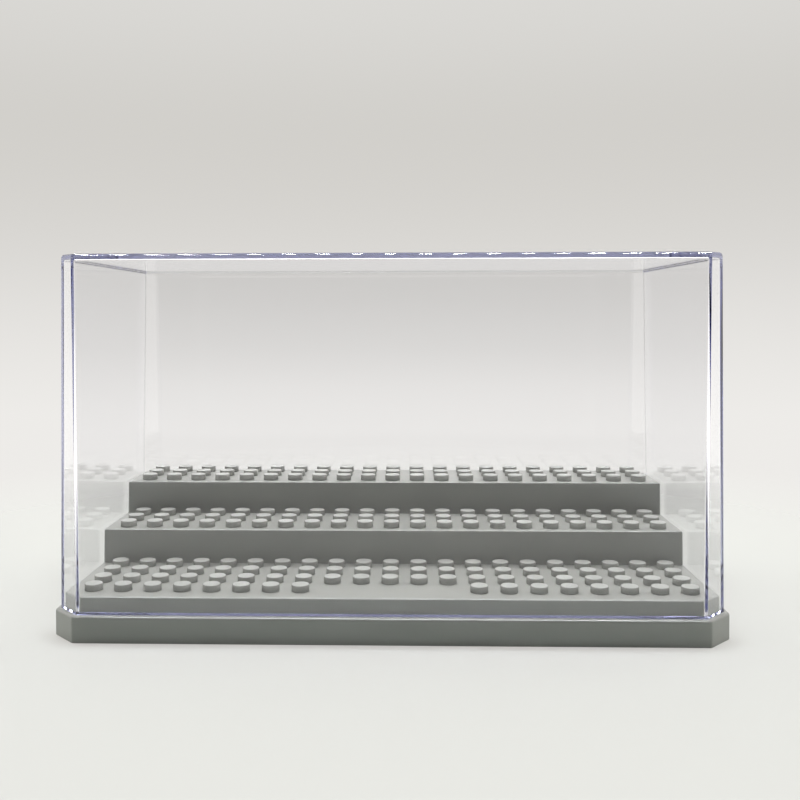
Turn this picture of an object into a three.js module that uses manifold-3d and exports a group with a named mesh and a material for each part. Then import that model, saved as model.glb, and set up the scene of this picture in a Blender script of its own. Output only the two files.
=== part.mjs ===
// Clear display case for small brick figures: a studded base, two stud-topped steps and a lift-off cover.
// Units are millimetres, +Z is up, the front faces -Y and the origin is the middle of the base's underside.
import * as THREE from 'three';
import { mergeGeometries, mergeVertices } from 'three/addons/utils/BufferGeometryUtils.js';
import Module from 'manifold-3d';

// Stud grid
const STUD_PITCH = 8;
const STUD_DIAMETER = 4.8;
const STUD_HEIGHT = 1.8;
const STUD_SIDES = 8;
const STUD_COLUMNS = 21;
const FRONT_ROWS = 4; // rows of the base in front of the steps
const MIDDLE_ROWS = 3;
const REAR_ROWS = 3;
const TILE_COLUMNS = 5; // studs left out in the middle of the front row
const ROW_SHIFT = 0.8; // the rows that show stand this far behind the even grid

// Base: a rim on the table, a ledge that carries the cover and a plateau that carries the studs
const LEDGE_HEIGHT = 7.5;
const PLATEAU_RISE = 4; // from the ledge to the plateau's top
const PLATEAU_END_MARGIN = 6.4; // from the outer stud centres to the plateau's ends
const PLATEAU_EDGE_MARGIN = 6.1; // from the outer rows to the plateau's front and back
const PLATEAU_CHAMFER = 5.1;
const RIM_MARGIN = 1.05; // ledge that shows in front of the cover and behind it
const RIM_END_MARGIN = 1.45; // ledge that shows at the cover's ends
const RIM_ROUND = 0.9;
const BASE_SKIRT = 2; // wall of the rim
const BASE_PLATE = 2; // plate under the studs
const BASE_RIB = 1.6;
const RIB_EVERY = 2; // rows from one rib under the base to the next

// Steps: hollow blocks that clip over the base's studs
const STEP_RISE = 10; // from each tier to the next
const STEP_INSET = 0.2; // from the plateau's edges to the steps
const STEP_SEAM = 0.2; // gap between neighbouring tiers
const STEP_BACK_GAP = 1.2; // more room behind the rear step, where the cover leans in as the step lifts
const STEP_PLATE = 2;
const STEP_SLOPE = 0.015; // draft, as run over rise
const GRIP_CLEARANCE = 0.3; // from a stud to the wall or rib beside it
const EDGE_ROUND = 0.4; // top edges of the plateau and the steps

// Cover
const COVER_HEIGHT = 94.3; // from the ledge to the top
const COVER_CLEARANCE = 0.35; // around the plateau
const COVER_WALL = 1.4;
const COVER_TOP = 2;
const COVER_SLOPE = 0.0115; // draft, as run over rise
const COVER_ROUND = 1.2; // outer edge of the top

// Shaping of the solids
const ROUND_STEPS = 2; // flats in a rounded edge
const SINK = 0.5; // how far a fused piece reaches into its neighbour
const OVERCUT = 1; // how far a cut starts outside the material

// Derived places
const ROWS = FRONT_ROWS + MIDDLE_ROWS + REAR_ROWS;
const PLATEAU_TOP = LEDGE_HEIGHT + PLATEAU_RISE;
const OCTAGON_CORNER = 2 - Math.SQRT2; // chamfer gained per unit of offset
const STUD_RADIUS = STUD_DIAMETER / 2;
const STEP_WALL = (STUD_PITCH - STEP_SEAM - STUD_DIAMETER) / 2 - GRIP_CLEARANCE;
const STEP_RIB = STUD_PITCH - STUD_DIAMETER - 2 * GRIP_CLEARANCE;

const wasm = await Module();
wasm.setup();

const columnX = (column) => (column - (STUD_COLUMNS - 1) / 2) * STUD_PITCH;
const rowY = (row) => (row - (ROWS - 1) / 2) * STUD_PITCH;

// An outline is a rectangle with chamfered front and back corners; a chamfer of 0 leaves a square corner.
function grown(outline, distance) {
  const chamfer = (size) => (size > 0 ? size + distance * OCTAGON_CORNER : 0);
  return {
    halfWidth: outline.halfWidth + distance,
    front: outline.front - distance,
    back: outline.back + distance,
    frontChamfer: chamfer(outline.frontChamfer),
    backChamfer: chamfer(outline.backChamfer),
  };
}

// The four sides lean in by a distance and the chamfers stay upright.
function leaned(outline, distance) {
  const chamfer = (size) => (size > 0 ? size - 2 * distance : 0);
  return {
    halfWidth: outline.halfWidth - distance,
    front: outline.front + distance,
    back: outline.back - distance,
    frontChamfer: chamfer(outline.frontChamfer),
    backChamfer: chamfer(outline.backChamfer),
  };
}

function corners({ halfWidth, front, back, frontChamfer, backChamfer }) {
  const points = [];
  const corner = (signX, y, signY, chamfer) => {
    const alongX = [signX * (halfWidth - chamfer), y];
    const alongY = [signX * halfWidth, y - signY * chamfer];
    const pair = signX === signY ? [alongY, alongX] : [alongX, alongY];
    points.push(...(chamfer > 0 ? pair : [alongX]));
  };
  corner(1, front, -1, frontChamfer);
  corner(1, back, 1, backChamfer);
  corner(-1, back, 1, backChamfer);
  corner(-1, front, -1, frontChamfer);
  return points;
}

// A closed body through outlines stacked from the bottom up, given as [outline, z].
function loft(sections) {
  const rings = sections.map(([outline, z]) => corners(outline).map(([x, y]) => [x, y, z]));
  const count = rings[0].length;
  const last = (rings.length - 1) * count;
  const index = [];
  for (let ring = 0; ring < rings.length - 1; ring += 1) {
    for (let side = 0; side < count; side += 1) {
      const next = (side + 1) % count;
      const low = ring * count;
      const high = low + count;
      index.push(low + side, low + next, high + next);
      index.push(low + side, high + next, high + side);
    }
  }
  for (let side = 1; side < count - 1; side += 1) {
    index.push(0, side + 1, side);
    index.push(last, last + side, last + side + 1);
  }
  const geometry = new THREE.BufferGeometry();
  geometry.setAttribute('position', new THREE.Float32BufferAttribute(rings.flat(2), 3));
  geometry.setIndex(index);
  return geometry;
}

// The sections of a rounded top edge, from the side below it to the flat above it.
function roundedEdge(outline, top, radius) {
  const sections = [];
  for (let step = 0; step <= ROUND_STEPS; step += 1) {
    const angle = (step / ROUND_STEPS) * (Math.PI / 2);
    const inset = radius * (1 - Math.cos(angle));
    sections.push([grown(outline, -inset), top - radius + radius * Math.sin(angle)]);
  }
  return sections;
}

function box(sizeX, sizeY, sizeZ, x, y, z) {
  return new THREE.BoxGeometry(sizeX, sizeY, sizeZ).translate(x, y, z);
}

function solid(geometry) {
  const bare = geometry.clone();
  bare.deleteAttribute('normal');
  bare.deleteAttribute('uv');
  const welded = mergeVertices(bare);
  const vertProperties = new Float32Array(welded.attributes.position.array);
  const triVerts = new Uint32Array(welded.index.array);
  return new wasm.Manifold(new wasm.Mesh({ numProp: 3, vertProperties, triVerts }));
}

function mesh(name, body, material) {
  const { vertProperties, triVerts } = body.getMesh();
  const geometry = new THREE.BufferGeometry();
  geometry.setAttribute('position', new THREE.BufferAttribute(vertProperties, 3));
  geometry.setIndex(new THREE.BufferAttribute(triVerts, 1));
  geometry.computeVertexNormals();
  const node = new THREE.Mesh(geometry, material);
  node.name = name;
  return node;
}

// Studs of some rows, standing on a plate's top.
function studs(firstRow, rowCount, top, shift, isLeftOut = () => false) {
  const height = STUD_HEIGHT + SINK;
  const pieces = [];
  for (let row = firstRow; row < firstRow + rowCount; row += 1) {
    for (let column = 0; column < STUD_COLUMNS; column += 1) {
      if (!isLeftOut(row, column)) {
        const stud = new THREE.CylinderGeometry(STUD_RADIUS, STUD_RADIUS, height, STUD_SIDES);
        stud.rotateX(Math.PI / 2);
        pieces.push(stud.translate(columnX(column), rowY(row) + shift, top - SINK + height / 2));
      }
    }
  }
  return solid(mergeGeometries(pieces));
}

// Ribs along X, from a floor to a ceiling, at the middle of the gaps after the given rows.
function ribs(rows, halfWidth, thickness, floor, ceiling) {
  const height = ceiling - floor;
  const pieces = rows.map((row) => {
    const y = rowY(row) + STUD_PITCH / 2;
    return box(2 * halfWidth, thickness, height, 0, y, floor + height / 2);
  });
  return solid(mergeGeometries(pieces));
}

const plateau = {
  halfWidth: columnX(STUD_COLUMNS - 1) + PLATEAU_END_MARGIN,
  front: rowY(0) - PLATEAU_EDGE_MARGIN,
  back: rowY(ROWS - 1) + PLATEAU_EDGE_MARGIN,
  frontChamfer: PLATEAU_CHAMFER,
  backChamfer: PLATEAU_CHAMFER,
};
const coverInside = grown(plateau, COVER_CLEARANCE);
const coverOutside = grown(coverInside, COVER_WALL);
const rim = { ...grown(coverOutside, RIM_MARGIN), halfWidth: coverOutside.halfWidth + RIM_END_MARGIN };

// The name tile's place is the bare middle of the front row.
function isTilePlace(row, column) {
  const firstColumn = (STUD_COLUMNS - TILE_COLUMNS) / 2;
  return row === 0 && column >= firstColumn && column < firstColumn + TILE_COLUMNS;
}

function baseTray() {
  const shell = solid(loft([
    [rim, 0],
    ...roundedEdge(rim, LEDGE_HEIGHT, RIM_ROUND),
    [plateau, LEDGE_HEIGHT],
    ...roundedEdge(plateau, PLATEAU_TOP, EDGE_ROUND),
  ]));
  const underRim = grown(rim, -BASE_SKIRT);
  const underPlateau = grown(plateau, -BASE_SKIRT);
  const hollow = solid(loft([
    [underRim, -OVERCUT],
    [underRim, LEDGE_HEIGHT - BASE_PLATE],
    [underPlateau, LEDGE_HEIGHT - BASE_PLATE],
    [underPlateau, PLATEAU_TOP - BASE_PLATE],
  ]));
  const ribRows = [];
  for (let row = 0; row < ROWS - 1; row += RIB_EVERY) {
    ribRows.push(row);
  }
  const underRibs = ribs(ribRows, rim.halfWidth, BASE_RIB, -OVERCUT, PLATEAU_TOP);
  const frontStuds = studs(0, FRONT_ROWS, PLATEAU_TOP, ROW_SHIFT, isTilePlace);
  const studsUnderSteps = studs(FRONT_ROWS, MIDDLE_ROWS + REAR_ROWS, PLATEAU_TOP, 0);
  return shell.add(frontStuds).add(studsUnderSteps).subtract(hollow.subtract(underRibs));
}

function stepBlock(outline, firstRow, rowCount, rise) {
  const floor = PLATEAU_TOP;
  const top = floor + rise;
  const ceiling = top - STEP_PLATE;
  const shell = solid(loft([
    [outline, floor],
    ...roundedEdge(leaned(outline, rise * STEP_SLOPE), top, EDGE_ROUND),
  ]));
  const inside = grown(outline, -STEP_WALL);
  const hollow = solid(loft([
    [inside, floor - OVERCUT],
    [inside, floor],
    [leaned(inside, (ceiling - floor) * STEP_SLOPE), ceiling],
  ]));
  const ribRows = [];
  for (let row = firstRow; row < firstRow + rowCount - 1; row += 1) {
    ribRows.push(row);
  }
  const gripRibs = ribs(ribRows, outline.halfWidth, STEP_RIB, floor - OVERCUT, top);
  return shell.add(studs(firstRow, rowCount, top, ROW_SHIFT)).subtract(hollow.subtract(gripRibs));
}

function clearCover() {
  const top = LEDGE_HEIGHT + COVER_HEIGHT;
  const lean = (outline, z) => leaned(outline, (z - LEDGE_HEIGHT) * COVER_SLOPE);
  const shell = solid(loft([
    [coverOutside, LEDGE_HEIGHT],
    ...roundedEdge(lean(coverOutside, top - COVER_ROUND), top, COVER_ROUND),
  ]));
  const ceiling = top - COVER_TOP;
  const hollow = solid(loft([
    [coverInside, LEDGE_HEIGHT - OVERCUT],
    [coverInside, LEDGE_HEIGHT],
    [lean(coverInside, ceiling), ceiling],
  ]));
  return shell.subtract(hollow);
}

const greyPlastic = () => new THREE.MeshStandardMaterial({ color: 0x999a96, roughness: 0.5, metalness: 0 });
const clearPlastic = () => new THREE.MeshStandardMaterial({
  color: 0xe4e8f2, roughness: 0.06, metalness: 0, transparent: true, opacity: 0.2,
});

const stepOutline = grown(plateau, -STEP_INSET);
const middleFirst = FRONT_ROWS;
const rearFirst = FRONT_ROWS + MIDDLE_ROWS;
const tierFront = (row) => rowY(row) - STUD_PITCH / 2 + STEP_SEAM / 2;
const tierBack = (row) => tierFront(row + 1) - STEP_SEAM;
const middleOutline = {
  ...stepOutline,
  front: tierFront(middleFirst),
  back: tierBack(rearFirst - 1),
  frontChamfer: 0,
  backChamfer: 0,
};
const rearOutline = {
  ...stepOutline,
  front: tierFront(rearFirst),
  back: stepOutline.back - STEP_BACK_GAP,
  frontChamfer: 0,
  backChamfer: stepOutline.backChamfer + STEP_BACK_GAP * (Math.SQRT2 - 1),
};

const displayCase = new THREE.Group();
displayCase.add(mesh('base_tray', baseTray(), greyPlastic()));
displayCase.add(mesh('middle_step', stepBlock(middleOutline, middleFirst, MIDDLE_ROWS, STEP_RISE), greyPlastic()));
displayCase.add(mesh('rear_step', stepBlock(rearOutline, rearFirst, REAR_ROWS, 2 * STEP_RISE), greyPlastic()));
displayCase.add(mesh('clear_cover', clearCover(), clearPlastic()));

export default displayCase;
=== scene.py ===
import math
from typing import NamedTuple

import bpy
import numpy as np
from mathutils import Matrix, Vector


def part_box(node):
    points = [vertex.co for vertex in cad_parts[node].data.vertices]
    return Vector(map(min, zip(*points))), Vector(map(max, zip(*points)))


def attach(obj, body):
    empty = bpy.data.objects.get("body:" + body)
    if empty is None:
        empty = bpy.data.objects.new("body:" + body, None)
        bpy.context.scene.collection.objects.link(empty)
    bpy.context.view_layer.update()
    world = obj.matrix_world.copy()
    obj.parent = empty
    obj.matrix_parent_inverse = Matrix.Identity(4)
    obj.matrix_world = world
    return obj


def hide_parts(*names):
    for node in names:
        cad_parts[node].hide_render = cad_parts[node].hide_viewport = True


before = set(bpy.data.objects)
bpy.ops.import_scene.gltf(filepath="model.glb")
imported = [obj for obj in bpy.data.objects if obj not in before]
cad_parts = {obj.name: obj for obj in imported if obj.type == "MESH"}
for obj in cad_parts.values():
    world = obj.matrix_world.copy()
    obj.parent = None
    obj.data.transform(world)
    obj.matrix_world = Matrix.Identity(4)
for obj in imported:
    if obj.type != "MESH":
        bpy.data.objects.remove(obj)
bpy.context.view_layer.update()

bl_info = {
    "name": "Figure display case",
    "version": (1, 0, 0),
    "blender": (4, 5, 0),
    "location": "View3D > Sidebar > Case",
    "description": "Clear lift-off cover over a studded grey base with two steps",
    "category": "Object",
}

BASE_LOW, BASE_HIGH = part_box("base_tray")
MIDDLE_LOW, MIDDLE_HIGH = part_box("middle_step")
REAR_LOW, REAR_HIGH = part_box("rear_step")
COVER_LOW, COVER_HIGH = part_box("clear_cover")

MM = 0.001

# How the surfaces are drawn
CORNERS = 8  # of a rectangle with cut corners
FIRST_EIGHTH = -2  # the first corner turns from the front, two eighths of a circle before +X
CORNER_STEPS = 5  # facets in an upright rounded corner
EASE_STEPS = 4  # facets in an eased edge of a profile
STUD_FACETS = 20
CUT_GAIN = 2 - math.sqrt(2)  # what a 45-degree cut gains per unit of offset
SMALLEST_CUT = 0.05 * MM
SINK = 0.4 * MM  # how far a fused piece reaches into its neighbour
CAP_REACH = 1 * MM  # how far a plate runs in from its edge before a flat face closes it
COVER_CAP_REACH = 3 * MM

# Edges and ribs of the base
LEDGE_DROP = 0.5 * MM  # how far the ledge lies under the solid's
UNDERSIDE_EASE = 0.3 * MM
RIM_FOOT_EASE = 0.2 * MM
RIM_EASE = 0.65 * MM
LEDGE_EASE = 0.08 * MM
PLATEAU_EASE = 0.5 * MM
PLATEAU_CORNER = 0.4 * MM
RIM_CORNER = 1.2 * MM
BASE_RIB = 1.6 * MM
ROWS_PER_RIB = 2

# Edges and ribs of the steps
STEP_CEILING_EASE = 0.2 * MM
STEP_FOOT_EASE = 0.15 * MM
STEP_TOP_EASE = 0.45 * MM
STEP_CORNER = 0.25 * MM
STEP_CUT = 0.3 * MM  # cut of a corner that looks square
GRIP_CLEARANCE = 0.6 * MM  # what the ribs inside a step leave free between the studs

# Edges of the cover
FOOT_DROP = 0.45 * MM  # how far the foot lies under the solid's
FOOT_RISE = 0.5 * MM  # how far the foot's face rises towards the inside
CEILING_EASE = 0.65 * MM
FOOT_INNER_EASE = 0.1 * MM
FOOT_OUTER_EASE = 0.15 * MM
TOP_EASE = 1.2 * MM
INNER_CORNER = 0.6 * MM
OUTER_CORNER = 0.1 * MM

# Finishes
NOISE_DETAIL = 2.0
NOISE_SPAN = (0.25, 0.75)  # where most values of a noise pattern lie
CLOUD_SCALE = 40.0
CLOUD_SPREAD = 0.015  # lighter and darker by this share
SATIN_SCALE = 160.0
SATIN_SPREAD = 0.03  # duller and glossier by this much
GRAIN_SCALE = 5000.0
GRAIN_STRENGTH = 0.08
GRAIN_HEIGHT = 0.01 * MM
PASSED_LIGHT = (0.96, 0.962, 0.968, 1)  # what the cover lets through of a lamp's light

# Floor, in metres
FLOOR_FACETS = 64
FLOOR_RINGS = 12
FLOOR_RADII = (0.05, 1.0)
FLOOR_FADE = (0.11, 0.32)  # radii between which the floor passes into the background

# Background, by the parts of the view direction
BACKGROUND_HEIGHTS = (-0.10, 0.32)
MIDDLE_STOP, DIM_STOP = 0.33, 0.67  # between the heights of the low and the high background
ROOM_START = (-0.10, -0.01)  # heights over which the room in front begins
MIRRORED_ROOM_END = (0.092, 0.12)  # heights over which it ends in mirror images
BAND_START, BAND_END = (-0.19, -0.174), (-0.157, -0.148)  # heights of the band of floor under the camera
FRONT = (-0.05, -0.4)  # depths over which the room in front begins
MIRRORED_FRONT = (-0.75, -0.88)  # the same in mirror images
SIDES = (0.6, 0.9)  # widths over which the bright sides begin
UNDER_ONE_TURN = 0.5  # a ray with fewer mirror and matt turns than this shows the background as it is

# Lamps, in metres
SOFT_LAMP_SIZE, SOFT_LAMP_PLACE = (1.5, 0.5), (0.0, 0.26, 0.8)
LINE_LAMP_SIZE, LINE_LAMP_PLACE = (1.5, 0.24), (0.0, 0.13, 0.79)
ROW_LAMP_SIZE, ROW_PLACE = (5.5 * MM, 120 * MM), (-3 * MM, -100 * MM, 315 * MM)

# Bounces that let light run along inside the clear wall
BOUNCES = 128
CLEAR_BOUNCES = 96

# The photograph's camera
IMAGE_SIDE = 800  # pixels of the square picture
CENTRE_PIXEL = (381.8, 331.5)
FOCAL_PIXELS = 932.0
SENSOR_WIDTH = 36.0  # millimetres
NEAREST = 0.01  # metres
CAMERA_PLACE = (4.6 * MM, -284.4 * MM, 85.7 * MM)
CAMERA_YAW, CAMERA_PITCH, CAMERA_ROLL = -0.0264, -0.0183, -0.0018  # radians


class CaseSizes(bpy.types.PropertyGroup):
    """Sizes of the case that a user would change."""

    stud_pitch: bpy.props.FloatProperty(
        name="Stud pitch", description="Distance between neighbouring studs", default=8 * MM, unit="LENGTH")
    stud_diameter: bpy.props.FloatProperty(
        name="Stud diameter", description="Width of a stud", default=4.8 * MM, unit="LENGTH")
    stud_height: bpy.props.FloatProperty(
        name="Stud height", description="Height of a stud over its plate", default=1.8 * MM, unit="LENGTH")
    stud_round: bpy.props.FloatProperty(
        name="Stud rounding", description="Rounding of a stud's top edge", default=0.16 * MM, unit="LENGTH")
    columns: bpy.props.IntProperty(name="Columns", description="Studs in a full row", default=21)
    front_rows: bpy.props.IntProperty(
        name="Front rows", description="Rows in front of the steps", default=4)
    middle_rows: bpy.props.IntProperty(
        name="Middle rows", description="Rows on the middle step", default=3)
    rear_rows: bpy.props.IntProperty(
        name="Rear rows", description="Rows on the rear step", default=3)
    tile_columns: bpy.props.IntProperty(
        name="Tile columns", description="Studs left out in the middle of the front row", default=5)
    row_shift: bpy.props.FloatProperty(
        name="Row shift", description="How far the rows that show stand behind the even grid",
        default=0.8 * MM, unit="LENGTH")
    plateau_cut: bpy.props.FloatProperty(
        name="Plateau cut", description="Cut corner of the plateau", default=5.1 * MM, unit="LENGTH")
    cover_clearance: bpy.props.FloatProperty(
        name="Cover clearance", description="Gap round the plateau", default=0.35 * MM, unit="LENGTH")
    cover_wall: bpy.props.FloatProperty(
        name="Cover wall", description="Thickness of the cover's sides", default=1.4 * MM, unit="LENGTH")
    cover_top: bpy.props.FloatProperty(
        name="Cover top", description="Thickness of the cover's top", default=1.4 * MM, unit="LENGTH")
    cover_slope: bpy.props.FloatProperty(
        name="Cover draft", description="Lean of the cover's sides, run over rise", default=0.0115)
    step_slope: bpy.props.FloatProperty(
        name="Step draft", description="Lean of the steps' sides, run over rise", default=0.015)
    step_wall: bpy.props.FloatProperty(
        name="Step wall", description="Thickness of the steps' walls", default=1.2 * MM, unit="LENGTH")
    base_wall: bpy.props.FloatProperty(
        name="Base wall", description="Thickness of the base's skirt and plates",
        default=2 * MM, unit="LENGTH")


class CaseFinish(bpy.types.PropertyGroup):
    """Colours and finishes of the case."""

    grey: bpy.props.FloatVectorProperty(
        name="Grey", description="Colour of the moulded base", subtype="COLOR", default=(0.309, 0.313, 0.29))
    grey_roughness: bpy.props.FloatProperty(
        name="Grey roughness", description="Satin of the moulded base", subtype="FACTOR", default=0.24)
    crown_roughness: bpy.props.FloatProperty(
        name="Crown roughness", description="Duller satin of the stud tops", subtype="FACTOR", default=0.5)
    clear_ior: bpy.props.FloatProperty(
        name="Clear index", description="Refraction index of the cover", default=1.5)
    edge_tint: bpy.props.FloatVectorProperty(
        name="Edge tint", description="What a long way through the clear plastic lets through",
        subtype="COLOR", default=(0.31, 0.34, 0.61))
    edge_density: bpy.props.FloatProperty(
        name="Edge density", description="How fast the tint grows with the way, per metre", default=16.0)


class StudioLook(bpy.types.PropertyGroup):
    """The plain studio round the case."""

    floor: bpy.props.FloatVectorProperty(
        name="Floor", description="Colour of the floor", subtype="COLOR", default=(0.605, 0.644, 0.605))
    floor_glow: bpy.props.FloatVectorProperty(
        name="Floor glow", description="Even brightness mixed into the floor", subtype="COLOR",
        default=(0.732, 0.70, 0.68))
    floor_lift: bpy.props.FloatProperty(
        name="Floor lift", description="Share of the even brightness, which weakens the shadow",
        subtype="FACTOR", default=0.6)
    low: bpy.props.FloatVectorProperty(
        name="Low background", description="Background at the floor", subtype="COLOR",
        default=(0.85, 0.835, 0.81))
    middle: bpy.props.FloatVectorProperty(
        name="Middle background", description="Background at eye level", subtype="COLOR",
        default=(0.73, 0.715, 0.69))
    dim: bpy.props.FloatVectorProperty(
        name="Dim background", description="Background over the case", subtype="COLOR",
        default=(0.645, 0.63, 0.60))
    high: bpy.props.FloatVectorProperty(
        name="High background", description="Background at the top", subtype="COLOR",
        default=(0.70, 0.69, 0.665))
    front_level: bpy.props.FloatProperty(
        name="Front level", description="Light from the dim room in front", subtype="FACTOR", default=0.01)
    front_band: bpy.props.FloatProperty(
        name="Front band", description="Darkness of the band of floor under the camera in mirror images",
        subtype="FACTOR", default=0.6)
    side_level: bpy.props.FloatProperty(
        name="Side level", description="Light from the bright sides", default=2.6)
    side_shine: bpy.props.FloatProperty(
        name="Side shine", description="Brightness of the sides in mirror images", default=1.7)
    soft_lamp_power: bpy.props.FloatProperty(
        name="Soft lamp power", description="Power of the soft lamp overhead, in watts", default=13.5)
    line_lamp_power: bpy.props.FloatProperty(
        name="Line lamp power", description="Power of the lamp that shows through the clear edge, in watts",
        default=9.0)
    row_lamp_power: bpy.props.FloatProperty(
        name="Row lamp power", description="Power of each small lamp of the row over the front, in watts",
        default=0.17)
    row_lamp_count: bpy.props.IntProperty(
        name="Row lamp count", description="Small lamps in the row over the front", default=21)
    row_lamp_pitch: bpy.props.FloatProperty(
        name="Row lamp pitch", description="Distance between the small lamps", default=17 * MM, unit="LENGTH")


class Outline(NamedTuple):
    """A rectangle with its corners cut at 45 degrees, seen from above, in metres."""

    half: float
    front: float
    back: float
    front_cut: float
    back_cut: float


class Surface(NamedTuple):
    """Vertices as rows of an array, faces as lists of their indices, and how many of the last faces are stud
    tops."""

    vertices: np.ndarray
    faces: list
    crown_count: int = 0


# Outlines and profiles


def grown(outline, distance):
    """Every side moves out by a distance, and a cut at 45 degrees gains 2 - sqrt(2) of it."""
    return Outline(
        outline.half + distance,
        outline.front - distance,
        outline.back + distance,
        max(outline.front_cut + distance * CUT_GAIN, SMALLEST_CUT),
        max(outline.back_cut + distance * CUT_GAIN, SMALLEST_CUT),
    )


def leaned(outline, distance):
    """The four sides move in by a distance and the cuts keep their planes, so each cut loses twice as
    much."""
    return Outline(
        outline.half - distance,
        outline.front + distance,
        outline.back - distance,
        max(outline.front_cut - 2 * distance, SMALLEST_CUT),
        max(outline.back_cut - 2 * distance, SMALLEST_CUT),
    )


def ring(outline, radius):
    """Points round an outline, anticlockwise from above, with rounded corners: each corner of the outline
    drawn in by the radius, plus the radius times the unit vector that turns through that corner's eighth of
    a circle."""
    inner = grown(outline, -radius)
    right = np.array([
        [inner.half - inner.front_cut, inner.front],
        [inner.half, inner.front + inner.front_cut],
        [inner.half, inner.back - inner.back_cut],
        [inner.half - inner.back_cut, inner.back],
    ])
    corners = np.vstack([right, right[::-1] * (-1, 1)])
    eighths = np.arange(CORNERS)[:, None] + FIRST_EIGHTH + np.linspace(0, 1, CORNER_STEPS + 1)
    turn = eighths * (2 * math.pi / CORNERS)
    points = corners[:, None, :] + radius * np.stack([np.cos(turn), np.sin(turn)], axis=-1)
    return points.reshape(-1, 2)


def eased(stations):
    """A profile of (offset, height, ease) with its inner corners rounded: each corner P becomes the curve
    (1-t)^2 A + 2t(1-t) P + t^2 B between the points A and B that lie the ease away from it along its two
    sides."""
    stations = np.array(stations, float)
    points = stations[:, :2]
    corner = points[1:-1]
    ease = stations[1:-1, 2:]

    def towards(other):
        side = other - corner
        return corner + side / np.linalg.norm(side, axis=1, keepdims=True) * ease

    start = towards(points[:-2])[:, None, :]
    end = towards(points[2:])[:, None, :]
    t = np.linspace(0, 1, EASE_STEPS + 1)[None, :, None]
    curves = (1 - t) ** 2 * start + 2 * t * (1 - t) * corner[:, None, :] + t ** 2 * end
    return np.vstack([points[:1], curves.reshape(-1, 2), points[-1:]])


# Surfaces


def strips(rows, columns):
    """Quads between neighbouring rings of a grid that closes on itself sideways."""
    here = np.arange(columns)
    after = (here + 1) % columns
    low = (np.arange(rows - 1) * columns)[:, None]
    quads = np.stack([low + here, low + after, low + after + columns, low + here + columns], axis=-1)
    return quads.reshape(-1, 4)


def swept(outline, profile, radius, slope=0.0, foot=0.0, end_share=0.0):
    """A profile carried round an outline: a profile point (offset, height) draws the outline grown by the
    offset, with its ends out by a further share of it, and leaned in by the slope times the height over the
    foot. Flat faces close the first ring and the last."""
    radii = np.broadcast_to(radius, len(profile))

    def level(offset, height, round_by):
        outer = grown(outline, offset)
        outer = outer._replace(half=outer.half + end_share * offset)
        return np.insert(ring(leaned(outer, slope * (height - foot)), round_by), 2, height, axis=1)

    rings = [level(offset, height, round_by) for (offset, height), round_by in zip(profile, radii)]
    count = len(rings[0])
    last = (len(rings) - 1) * count
    faces = strips(len(rings), count).tolist()
    faces.append(list(range(count))[::-1])
    faces.append(list(range(last, last + count)))
    return Surface(np.vstack(rings), faces)


def bar(half_width, y, thickness, low, high):
    """A straight bar along X: a thin outline carried from its low end to its high end."""
    outline = Outline(half_width, y - thickness / 2, y + thickness / 2, SMALLEST_CUT, SMALLEST_CUT)
    return swept(outline, [(0, low), (0, high)], SMALLEST_CUT)


def stud_field(sizes, centres, plate):
    """Studs turned round upright axes: a profile of (radius, height) times the unit circle, moved to each
    centre."""
    radius = sizes.stud_diameter / 2
    top = plate + sizes.stud_height
    profile = np.array([
        [radius, plate - SINK],
        [radius, top - sizes.stud_round],
        [radius - sizes.stud_round, top],
    ])
    angle = np.arange(STUD_FACETS) * (2 * math.pi / STUD_FACETS)
    circle = np.stack([np.cos(angle), np.sin(angle)], axis=-1)
    one = np.empty((len(profile), STUD_FACETS, 3))
    one[..., :2] = profile[:, None, :1] * circle
    one[..., 2] = profile[:, None, 1]
    place = np.insert(np.asarray(centres, float), 2, 0, axis=1)
    vertices = (place[:, None, None, :] + one).reshape(-1, 3)
    size = len(profile) * STUD_FACETS
    first = (np.arange(len(place)) * size)[:, None]
    around = np.arange(STUD_FACETS)
    sides = (strips(len(profile), STUD_FACETS)[None] + first[:, :, None]).reshape(-1, 4)
    bottoms = first + around[::-1]
    crowns = first + size - STUD_FACETS + around
    return Surface(vertices, sides.tolist() + bottoms.tolist() + crowns.tolist(), len(place))


def joined(surfaces):
    """Several surfaces as one, with their indices counted on; only the last one keeps its stud tops."""
    starts = np.cumsum([0] + [len(surface.vertices) for surface in surfaces[:-1]])
    faces = [
        [index + start for index in face]
        for surface, start in zip(surfaces, starts.tolist())
        for face in surface.faces
    ]
    return Surface(np.vstack([surface.vertices for surface in surfaces]), faces, surfaces[-1].crown_count)


def make_piece(name, surfaces, material):
    """A mesh object at the origin, smooth, with each vertex normal the mean of its faces' normals by area."""
    surface = joined(surfaces)
    mesh = bpy.data.meshes.new(name)
    mesh.from_pydata(surface.vertices.tolist(), [], surface.faces)
    mesh.polygons.foreach_set("use_smooth", np.ones(len(mesh.polygons), bool))
    mesh.update()
    normal = np.empty(len(mesh.polygons) * 3)
    area = np.empty(len(mesh.polygons))
    sides = np.empty(len(mesh.polygons), int)
    corner = np.empty(len(mesh.loops), int)
    mesh.polygons.foreach_get("normal", normal)
    mesh.polygons.foreach_get("area", area)
    mesh.polygons.foreach_get("loop_total", sides)
    mesh.loops.foreach_get("vertex_index", corner)
    weighted = np.zeros((len(mesh.vertices), 3))
    np.add.at(weighted, corner, np.repeat(normal.reshape(-1, 3) * area[:, None], sides, axis=0))
    weighted /= np.linalg.norm(weighted, axis=1, keepdims=True)
    mesh.normals_split_custom_set_from_vertices(weighted.tolist())
    crown = np.arange(len(mesh.polygons)) >= len(mesh.polygons) - surface.crown_count
    mesh.attributes.new("crown", "FLOAT", "FACE").data.foreach_set("value", crown.astype(np.float32))
    mesh.materials.append(material)
    piece = bpy.data.objects.new(name, mesh)
    bpy.context.scene.collection.objects.link(piece)
    return piece


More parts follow.
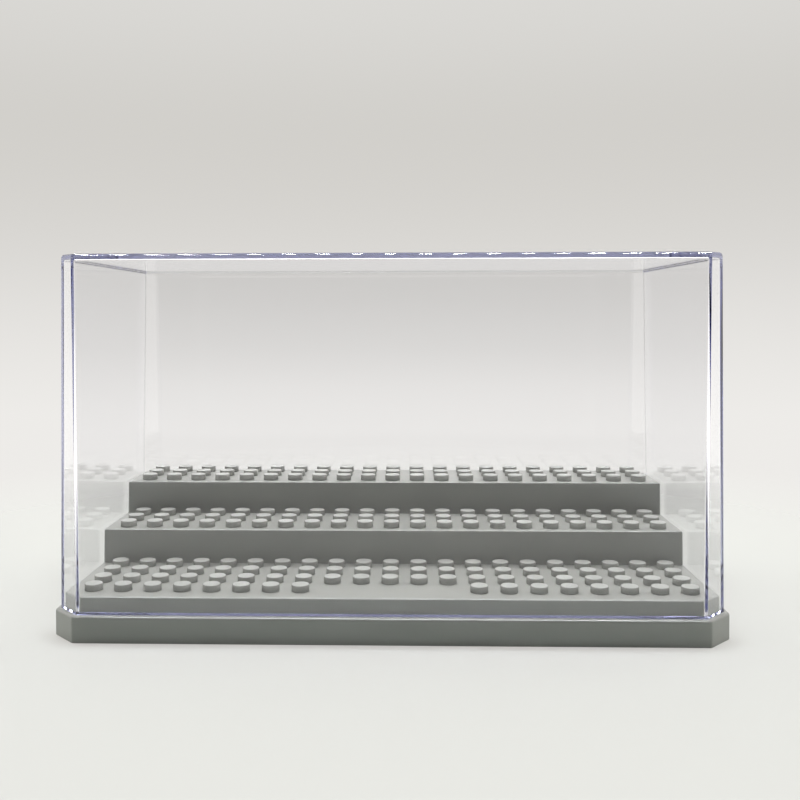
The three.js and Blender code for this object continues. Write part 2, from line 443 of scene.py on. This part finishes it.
# Places of the studs and the main outlines


def row_count(sizes):
    """All the rows of studs, from the front to the back."""
    return sizes.front_rows + sizes.middle_rows + sizes.rear_rows


def row_y(sizes, row):
    """The place of a row in the even grid, which is centred on the case."""
    return (row - (row_count(sizes) - 1) / 2) * sizes.stud_pitch


def stud_centres(sizes, first, count, shift):
    """The centres of some rows of the grid, shifted back, rows times columns, without the tile's place in
    the front row."""
    column = np.arange(sizes.columns) - (sizes.columns - 1) / 2
    row = np.arange(first, first + count)
    x, y = np.meshgrid(column * sizes.stud_pitch, row_y(sizes, row) + shift)
    in_tile = np.abs(column) < sizes.tile_columns / 2
    bare = (row[:, None] == 0) & in_tile[None, :]
    return np.stack([x[~bare], y[~bare]], axis=-1)


def plateau_outline(sizes):
    """The plateau: the cover's foot drawn in by its wall and its clearance."""
    inset = sizes.cover_wall + sizes.cover_clearance
    return Outline(
        COVER_HIGH.x - inset,
        COVER_LOW.y + inset,
        COVER_HIGH.y - inset,
        sizes.plateau_cut,
        sizes.plateau_cut,
    )


def middle_outline():
    """The middle step: its solid's box, with corners that look square."""
    return Outline(MIDDLE_HIGH.x, MIDDLE_LOW.y, MIDDLE_HIGH.y, STEP_CUT, STEP_CUT)


def rear_outline(sizes):
    """The rear step: its solid's box, with back corners cut as the plateau's and by sqrt(2) - 1 of the gap
    behind it more."""
    plateau = plateau_outline(sizes)
    gap = plateau.back - REAR_HIGH.y
    back_cut = plateau.back_cut + gap * (math.sqrt(2) - 1)
    return Outline(REAR_HIGH.x, REAR_LOW.y, REAR_HIGH.y, STEP_CUT, back_cut)


# Nodes


def new_material(name):
    """A material without nodes, and its node tree."""
    material = bpy.data.materials.new(name)
    material.use_nodes = True
    material.node_tree.nodes.clear()
    return material, material.node_tree


def add_node(tree, kind, **settings):
    """A new node with some of its settings."""
    node = tree.nodes.new(kind)
    for key, value in settings.items():
        setattr(node, key, value)
    return node


def feed(tree, value, socket):
    """A link into a socket where the value is a socket itself, and otherwise a constant set on it."""
    if isinstance(value, bpy.types.NodeSocket):
        tree.links.new(value, socket)
    else:
        socket.default_value = value


def calculated(tree, operation, *values, clamp=False):
    """The outcome of an operation on sockets and constants."""
    node = add_node(tree, "ShaderNodeMath", operation=operation, use_clamp=clamp)
    for value, socket in zip(values, node.inputs):
        feed(tree, value, socket)
    return node.outputs["Value"]


def ranged(tree, value, source, target):
    """A value carried from one range to another, held at its ends."""
    node = add_node(tree, "ShaderNodeMapRange")
    node.inputs["From Min"].default_value, node.inputs["From Max"].default_value = source
    node.inputs["To Min"].default_value, node.inputs["To Max"].default_value = target
    tree.links.new(value, node.inputs["Value"])
    return node.outputs["Result"]


def blended(tree, share, first, second):
    """A value that goes from a first one to a second one with a share."""
    node = add_node(tree, "ShaderNodeMix", data_type="FLOAT")
    feed(tree, share, node.inputs["Factor"])
    feed(tree, first, node.inputs["A"])
    feed(tree, second, node.inputs["B"])
    return node.outputs["Result"]


def blended_shader(tree, share, first, second):
    """A shader that goes from a first one to a second one with a share."""
    node = add_node(tree, "ShaderNodeMixShader")
    for value, socket in zip((share, first, second), node.inputs):
        tree.links.new(value, socket)
    return node.outputs["Shader"]


def noise(tree, scale, coordinates):
    """A noise pattern of a scale."""
    node = add_node(tree, "ShaderNodeTexNoise")
    node.inputs["Scale"].default_value = scale
    node.inputs["Detail"].default_value = NOISE_DETAIL
    tree.links.new(coordinates, node.inputs["Vector"])
    return node.outputs["Fac"]


# Materials


def satin_grey(finish):
    """Satin moulded plastic: a grey that clouds slightly, with a fine spark-eroded grain and uneven satin."""
    material, tree = new_material("satin_grey")
    where = add_node(tree, "ShaderNodeTexCoord").outputs["Object"]
    shader = add_node(tree, "ShaderNodeBsdfPrincipled")
    output = add_node(tree, "ShaderNodeOutputMaterial")
    tree.links.new(shader.outputs["BSDF"], output.inputs["Surface"])
    tone = add_node(tree, "ShaderNodeValToRGB")
    darker, lighter = tone.color_ramp.elements
    darker.color = [channel * (1 - CLOUD_SPREAD) for channel in finish.grey] + [1]
    lighter.color = [channel * (1 + CLOUD_SPREAD) for channel in finish.grey] + [1]
    tree.links.new(ranged(tree, noise(tree, CLOUD_SCALE, where), NOISE_SPAN, (0, 1)), tone.inputs["Fac"])
    tree.links.new(tone.outputs["Color"], shader.inputs["Base Color"])
    spread = (finish.grey_roughness - SATIN_SPREAD, finish.grey_roughness + SATIN_SPREAD)
    satin = ranged(tree, noise(tree, SATIN_SCALE, where), NOISE_SPAN, spread)
    crown = add_node(tree, "ShaderNodeAttribute", attribute_name="crown").outputs["Fac"]
    duller = finish.crown_roughness - finish.grey_roughness
    tree.links.new(calculated(tree, "MULTIPLY_ADD", crown, duller, satin), shader.inputs["Roughness"])
    bump = add_node(tree, "ShaderNodeBump")
    bump.inputs["Strength"].default_value = GRAIN_STRENGTH
    bump.inputs["Distance"].default_value = GRAIN_HEIGHT
    tree.links.new(noise(tree, GRAIN_SCALE, where), bump.inputs["Height"])
    tree.links.new(bump.outputs["Normal"], shader.inputs["Normal"])
    return material


def polished_clear(finish):
    """Polished clear plastic that lets lamps through and turns blue along its edges, where the way is
    long."""
    material, tree = new_material("polished_clear")
    shader = add_node(tree, "ShaderNodeBsdfPrincipled")
    shader.inputs["Base Color"].default_value = (1, 1, 1, 1)
    shader.inputs["Roughness"].default_value = 0.0
    shader.inputs["IOR"].default_value = finish.clear_ior
    shader.inputs["Transmission Weight"].default_value = 1.0
    passing = add_node(tree, "ShaderNodeBsdfTransparent")
    passing.inputs["Color"].default_value = PASSED_LIGHT
    light = add_node(tree, "ShaderNodeLightPath").outputs
    lighting = calculated(tree, "MAXIMUM", light["Is Shadow Ray"], light["Is Diffuse Ray"])
    inside = add_node(tree, "ShaderNodeVolumeAbsorption")
    inside.inputs["Color"].default_value = (*finish.edge_tint, 1)
    inside.inputs["Density"].default_value = finish.edge_density
    output = add_node(tree, "ShaderNodeOutputMaterial")
    surface = blended_shader(tree, lighting, shader.outputs["BSDF"], passing.outputs["BSDF"])
    tree.links.new(surface, output.inputs["Surface"])
    tree.links.new(inside.outputs["Volume"], output.inputs["Volume"])
    return material


def shared_material(name, maker):
    """The material of a name, made once from the scene's finishes."""
    return bpy.data.materials.get(name) or maker(bpy.context.scene.case_finish)


# Pieces


def build_base(sizes):
    """The base's shell, from the ceiling of its hollow down and out under the rim, up over the ledge and the
    plateau's side to its top, with ribs underneath and studs on top."""
    plateau = plateau_outline(sizes)
    rim = plateau.front - BASE_LOW.y
    end_share = (BASE_HIGH.x - plateau.half) / rim - 1
    wall = sizes.base_wall
    ledge = COVER_LOW.z - LEDGE_DROP
    top = MIDDLE_LOW.z
    profile = eased([
        (-wall - CAP_REACH, top - wall, 0),
        (-wall, top - wall, UNDERSIDE_EASE),
        (-wall, ledge - wall, UNDERSIDE_EASE),
        (rim - wall, ledge - wall, UNDERSIDE_EASE),
        (rim - wall, 0, RIM_FOOT_EASE),
        (rim, 0, RIM_FOOT_EASE),
        (rim, ledge, RIM_EASE),
        (0, ledge, LEDGE_EASE),
        (0, top, PLATEAU_EASE),
        (-CAP_REACH, top, 0),
    ])
    radius = np.interp(profile[:, 0], [0, rim], [PLATEAU_CORNER, RIM_CORNER])
    shell = swept(plateau, profile, radius, end_share=end_share)
    ribs = [
        bar(plateau.half - wall + SINK, row_y(sizes, row + 0.5), BASE_RIB, 0, top - wall + SINK)
        for row in range(0, row_count(sizes) - 1, ROWS_PER_RIB)
    ]
    centres = np.vstack([
        stud_centres(sizes, 0, sizes.front_rows, sizes.row_shift),
        stud_centres(sizes, sizes.front_rows, sizes.middle_rows + sizes.rear_rows, 0),
    ])
    studs = stud_field(sizes, centres, top)
    piece = make_piece("base_moulding", [shell, *ribs, studs], shared_material("satin_grey", satin_grey))
    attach(piece, "base")
    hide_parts("base_tray")


def build_step(sizes, name, node, outline, first, count, top):
    """A step's shell, from the ceiling of its hollow down the inside, under its foot and up the leaning
    outside to its top, with grip ribs between the rows below and studs on top."""
    foot = MIDDLE_LOW.z
    wall = sizes.step_wall
    plate = sizes.base_wall
    profile = eased([
        (-wall - CAP_REACH, top - plate, 0),
        (-wall, top - plate, STEP_CEILING_EASE),
        (-wall, foot, STEP_FOOT_EASE),
        (0, foot, STEP_FOOT_EASE),
        (0, top, STEP_TOP_EASE),
        (-CAP_REACH, top, 0),
    ])
    shell = swept(outline, profile, STEP_CORNER, sizes.step_slope, foot)
    thickness = sizes.stud_pitch - sizes.stud_diameter - GRIP_CLEARANCE
    ribs = [
        bar(outline.half - wall, row_y(sizes, row + 0.5), thickness, foot, top - plate + SINK)
        for row in range(first, first + count - 1)
    ]
    studs = stud_field(sizes, stud_centres(sizes, first, count, sizes.row_shift), top)
    piece = make_piece(name, [shell, *ribs, studs], shared_material("satin_grey", satin_grey))
    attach(piece, node)
    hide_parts(node)


def build_cover(sizes):
    """The cover's wall, from the middle of its ceiling down the inside, under its sloping foot, up the
    leaning outside and over the rounded edge to its top. The slope of the foot turns the view up into the
    wall, so that the foot shows the tint of a long way through it."""
    foot = COVER_LOW.z - FOOT_DROP
    top = COVER_HIGH.z
    wall = sizes.cover_wall
    outside = grown(plateau_outline(sizes), wall + sizes.cover_clearance)
    profile = eased([
        (-wall - COVER_CAP_REACH, top - sizes.cover_top, 0),
        (-wall, top - sizes.cover_top, CEILING_EASE),
        (-wall, foot + FOOT_RISE, FOOT_INNER_EASE),
        (0, foot, FOOT_OUTER_EASE),
        (0, top, TOP_EASE),
        (-COVER_CAP_REACH, top, 0),
    ])
    radius = np.interp(profile[:, 0], [-wall, 0], [INNER_CORNER, OUTER_CORNER])
    shell = swept(outside, profile, radius, sizes.cover_slope, foot)
    piece = make_piece("cover_moulding", [shell], shared_material("polished_clear", polished_clear))
    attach(piece, "cover")
    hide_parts("clear_cover")


# Stage


def floor_material(look):
    """Pale matt floor that fades out far from the case, so that it passes into the background without an
    edge. Where it is seen, an even brightness is mixed in, so that the case's shadow on it is light."""
    material, tree = new_material("studio_floor")
    where = add_node(tree, "ShaderNodeTexCoord").outputs["Object"]
    away = add_node(tree, "ShaderNodeVectorMath", operation="LENGTH")
    tree.links.new(where, away.inputs[0])
    fade = add_node(tree, "ShaderNodeMapRange", interpolation_type="SMOOTHSTEP")
    fade.inputs["From Min"].default_value, fade.inputs["From Max"].default_value = FLOOR_FADE
    tree.links.new(away.outputs["Value"], fade.inputs["Value"])
    matt = add_node(tree, "ShaderNodeBsdfDiffuse")
    matt.inputs["Color"].default_value = (*look.floor, 1)
    glow = add_node(tree, "ShaderNodeEmission")
    glow.inputs["Color"].default_value = (*look.floor_glow, 1)
    lighting = add_node(tree, "ShaderNodeLightPath").outputs["Is Diffuse Ray"]
    lift = ranged(tree, lighting, (0, 1), (look.floor_lift, 0))
    lit = blended_shader(tree, lift, matt.outputs["BSDF"], glow.outputs["Emission"])
    gone = add_node(tree, "ShaderNodeBsdfTransparent")
    surface = blended_shader(tree, fade.outputs["Result"], lit, gone.outputs["BSDF"])
    output = add_node(tree, "ShaderNodeOutputMaterial")
    tree.links.new(surface, output.inputs["Surface"])
    return material


def build_floor(look):
    """A round floor: rings of a polar grid, radius times the unit circle, at the height the case stands
    on."""
    angle = np.arange(FLOOR_FACETS) * (2 * math.pi / FLOOR_FACETS)
    radius = np.linspace(*FLOOR_RADII, FLOOR_RINGS)
    grid = np.zeros((len(radius), len(angle), 3))
    grid[..., 0] = radius[:, None] * np.cos(angle)
    grid[..., 1] = radius[:, None] * np.sin(angle)
    faces = strips(len(radius), len(angle))[:, ::-1].tolist()
    faces.append(list(range(len(angle))))
    mesh = bpy.data.meshes.new("studio_floor")
    mesh.from_pydata(grid.reshape(-1, 3).tolist(), [], faces)
    mesh.materials.append(floor_material(look))
    floor = bpy.data.objects.new("studio_floor", mesh)
    bpy.context.scene.collection.objects.link(floor)


def background_colour(tree, look, height):
    """Four pale tones by the height of the view direction, from the floor to the top."""
    ramp = add_node(tree, "ShaderNodeValToRGB")
    ramp.color_ramp.interpolation = "CARDINAL"
    ramp.color_ramp.elements[0].color = (*look.low, 1)
    ramp.color_ramp.elements[1].color = (*look.high, 1)
    ramp.color_ramp.elements.new(MIDDLE_STOP).color = (*look.middle, 1)
    ramp.color_ramp.elements.new(DIM_STOP).color = (*look.dim, 1)
    tree.links.new(ranged(tree, height, BACKGROUND_HEIGHTS, (0, 1)), ramp.inputs["Fac"])
    return ramp.outputs["Color"]


def front_dimness(tree, look, depth, height, mirrored):
    """How dim the room in front is, from 0 to 1: over the level of the floor, and in mirror images only near
    the horizon straight in front, together with a band of the floor under the camera."""
    band = calculated(
        tree, "MULTIPLY",
        ranged(tree, height, BAND_START, (0, look.front_band)),
        ranged(tree, height, BAND_END, (1, 0)),
    )
    over_floor = calculated(
        tree, "MAXIMUM",
        ranged(tree, height, ROOM_START, (0, 1)),
        calculated(tree, "MULTIPLY", band, mirrored),
    )
    over_horizon = calculated(
        tree, "MULTIPLY",
        ranged(tree, height, MIRRORED_ROOM_END, (0, 1)),
        mirrored,
    )
    in_front = blended(
        tree, mirrored,
        ranged(tree, depth, FRONT, (0, 1)),
        ranged(tree, depth, MIRRORED_FRONT, (0, 1)),
    )
    return calculated(
        tree, "MULTIPLY",
        in_front,
        calculated(tree, "SUBTRACT", over_floor, over_horizon, clamp=True),
    )


def side_brightness(tree, look, width, mirrored, lighting):
    """How bright the room is towards the sides, from 1 in the middle, for light and in mirror images."""
    lit = calculated(tree, "MULTIPLY", lighting, look.side_level - 1)
    more = calculated(tree, "MULTIPLY_ADD", mirrored, look.side_shine - 1, lit)
    aside = ranged(tree, calculated(tree, "ABSOLUTE", width), SIDES, (0, 1))
    return calculated(tree, "MULTIPLY_ADD", aside, more, 1.0)


def build_world(look):
    """A pale background by the height of the view direction, which shows as it is where it is seen directly
    or through the clear plastic. As light and in mirror images, the room in front is dim and the sides are
    bright."""
    world = bpy.data.worlds.new("studio")
    world.use_nodes = True
    tree = world.node_tree
    tree.nodes.clear()
    direction = add_node(tree, "ShaderNodeTexCoord").outputs["Generated"]
    split = add_node(tree, "ShaderNodeSeparateXYZ")
    tree.links.new(direction, split.inputs["Vector"])
    width, depth, height = (split.outputs[axis] for axis in "XYZ")
    light = add_node(tree, "ShaderNodeLightPath").outputs
    mirrored, lighting = light["Is Glossy Ray"], light["Is Diffuse Ray"]
    dimness = front_dimness(tree, look, depth, height, mirrored)
    room = calculated(
        tree, "MULTIPLY",
        ranged(tree, dimness, (0, 1), (1, look.front_level)),
        side_brightness(tree, look, width, mirrored, lighting),
    )
    turns = calculated(tree, "ADD", light["Glossy Depth"], light["Diffuse Depth"])
    seen = calculated(tree, "LESS_THAN", turns, UNDER_ONE_TURN)
    background = add_node(tree, "ShaderNodeBackground")
    tree.links.new(background_colour(tree, look, height), background.inputs["Color"])
    tree.links.new(blended(tree, seen, room, 1.0), background.inputs["Strength"])
    output = add_node(tree, "ShaderNodeOutputWorld")
    tree.links.new(background.outputs["Background"], output.inputs["Surface"])
    bpy.context.scene.world = world


def area_lamp(name, size, power):
    """A lamp with a rectangular face that shines down."""
    lamp = bpy.data.lights.new(name, "AREA")
    lamp.shape = "RECTANGLE"
    lamp.size, lamp.size_y = size
    lamp.energy = power
    return lamp


def hang(lamp, place, *unseen):
    """A lamp at a place, with the kinds of rays that don't see it."""
    holder = bpy.data.objects.new(lamp.name, lamp)
    holder.location = place
    for visibility in unseen:
        setattr(holder, visibility, False)
    bpy.context.scene.collection.objects.link(holder)


def build_soft_lamp(look):
    """One long soft lamp overhead, left out of mirror images so that the cover stays clear from above."""
    lamp = area_lamp("soft_lamp", SOFT_LAMP_SIZE, look.soft_lamp_power)
    hang(lamp, SOFT_LAMP_PLACE, "visible_glossy", "visible_transmission")


def build_line_lamp(look):
    """A long lamp overhead that only shows through the clear plastic, as the bright line under the cover's
    top edge."""
    lamp = area_lamp("line_lamp", LINE_LAMP_SIZE, look.line_lamp_power)
    hang(lamp, LINE_LAMP_PLACE, "visible_camera", "visible_diffuse", "visible_glossy")


def build_lamp_row(look):
    """A row of small lamps over the front that only shows as highlights on edges: places at an even pitch,
    counted from the middle of the row."""
    lamp = area_lamp("row_lamp", ROW_LAMP_SIZE, look.row_lamp_power)
    x, y, z = ROW_PLACE
    for index in range(look.row_lamp_count):
        aside = (index - (look.row_lamp_count - 1) / 2) * look.row_lamp_pitch
        hang(lamp, (x + aside, y, z), "visible_camera", "visible_diffuse", "visible_transmission")


def build_camera():
    """The photograph's camera: its place, its small turns and the shift of its lens, from the stud grid in
    the picture."""
    data = bpy.data.cameras.new("camera")
    data.sensor_width = SENSOR_WIDTH
    data.lens = FOCAL_PIXELS / IMAGE_SIDE * SENSOR_WIDTH
    data.shift_x = 0.5 - CENTRE_PIXEL[0] / IMAGE_SIDE
    data.shift_y = CENTRE_PIXEL[1] / IMAGE_SIDE - 0.5
    data.clip_start = NEAREST
    camera = bpy.data.objects.new("camera", data)
    camera.location = CAMERA_PLACE
    level = Matrix.Rotation(math.pi / 2 + CAMERA_PITCH, 3, "X")
    turn = Matrix.Rotation(-CAMERA_YAW, 3, "Z") @ level @ Matrix.Rotation(CAMERA_ROLL, 3, "Z")
    camera.rotation_euler = turn.to_euler()
    bpy.context.scene.collection.objects.link(camera)
    bpy.context.scene.camera = camera


# Operators


class BaseOperator(bpy.types.Operator):
    """Make the studded base"""

    bl_idname = "figure_case.base"
    bl_label = "Base"

    def execute(self, context):
        build_base(context.scene.case_sizes)
        return {"FINISHED"}


class StepsOperator(bpy.types.Operator):
    """Make the middle and the rear step"""

    bl_idname = "figure_case.steps"
    bl_label = "Steps"

    def execute(self, context):
        sizes = context.scene.case_sizes
        first = sizes.front_rows
        build_step(sizes, "middle_step_moulding", "middle_step", middle_outline(), first, sizes.middle_rows,
                   MIDDLE_HIGH.z - sizes.stud_height)
        first += sizes.middle_rows
        build_step(sizes, "rear_step_moulding", "rear_step", rear_outline(sizes), first, sizes.rear_rows,
                   REAR_HIGH.z - sizes.stud_height)
        return {"FINISHED"}


class CoverOperator(bpy.types.Operator):
    """Make the clear cover"""

    bl_idname = "figure_case.cover"
    bl_label = "Cover"

    def execute(self, context):
        build_cover(context.scene.case_sizes)
        return {"FINISHED"}


class StageOperator(bpy.types.Operator):
    """Make the floor, the light and the camera"""

    bl_idname = "figure_case.stage"
    bl_label = "Stage"

    def execute(self, context):
        look = context.scene.studio_look
        build_floor(look)
        build_world(look)
        build_soft_lamp(look)
        build_line_lamp(look)
        build_lamp_row(look)
        build_camera()
        context.scene.view_settings.view_transform = "Standard"
        context.scene.cycles.max_bounces = BOUNCES
        context.scene.cycles.glossy_bounces = CLEAR_BOUNCES
        context.scene.cycles.transmission_bounces = CLEAR_BOUNCES
        return {"FINISHED"}


OPERATORS = (StageOperator, BaseOperator, StepsOperator, CoverOperator)
GROUPS = {"case_sizes": CaseSizes, "case_finish": CaseFinish, "studio_look": StudioLook}


class CasePanel(bpy.types.Panel):
    """Lists the case's sizes, finishes and pieces"""

    bl_idname = "VIEW3D_PT_figure_case"
    bl_label = "Figure case"
    bl_space_type = "VIEW_3D"
    bl_region_type = "UI"
    bl_category = "Case"

    def draw(self, context):
        for operator in OPERATORS:
            self.layout.operator(operator.bl_idname)
        for name, group in GROUPS.items():
            box = self.layout.box()
            for key in group.__annotations__:
                box.prop(getattr(context.scene, name), key)


CLASSES = (*GROUPS.values(), *OPERATORS, CasePanel)


def register():
    for each in CLASSES:
        bpy.utils.register_class(each)
    for name, group in GROUPS.items():
        setattr(bpy.types.Scene, name, bpy.props.PointerProperty(type=group))


def unregister():
    for name in GROUPS:
        delattr(bpy.types.Scene, name)
    for each in reversed(CLASSES):
        bpy.utils.unregister_class(each)


def main():
    register()
    bpy.ops.figure_case.stage()
    bpy.ops.figure_case.base()
    bpy.ops.figure_case.steps()
    bpy.ops.figure_case.cover()


if __name__ == "__main__":
    main()
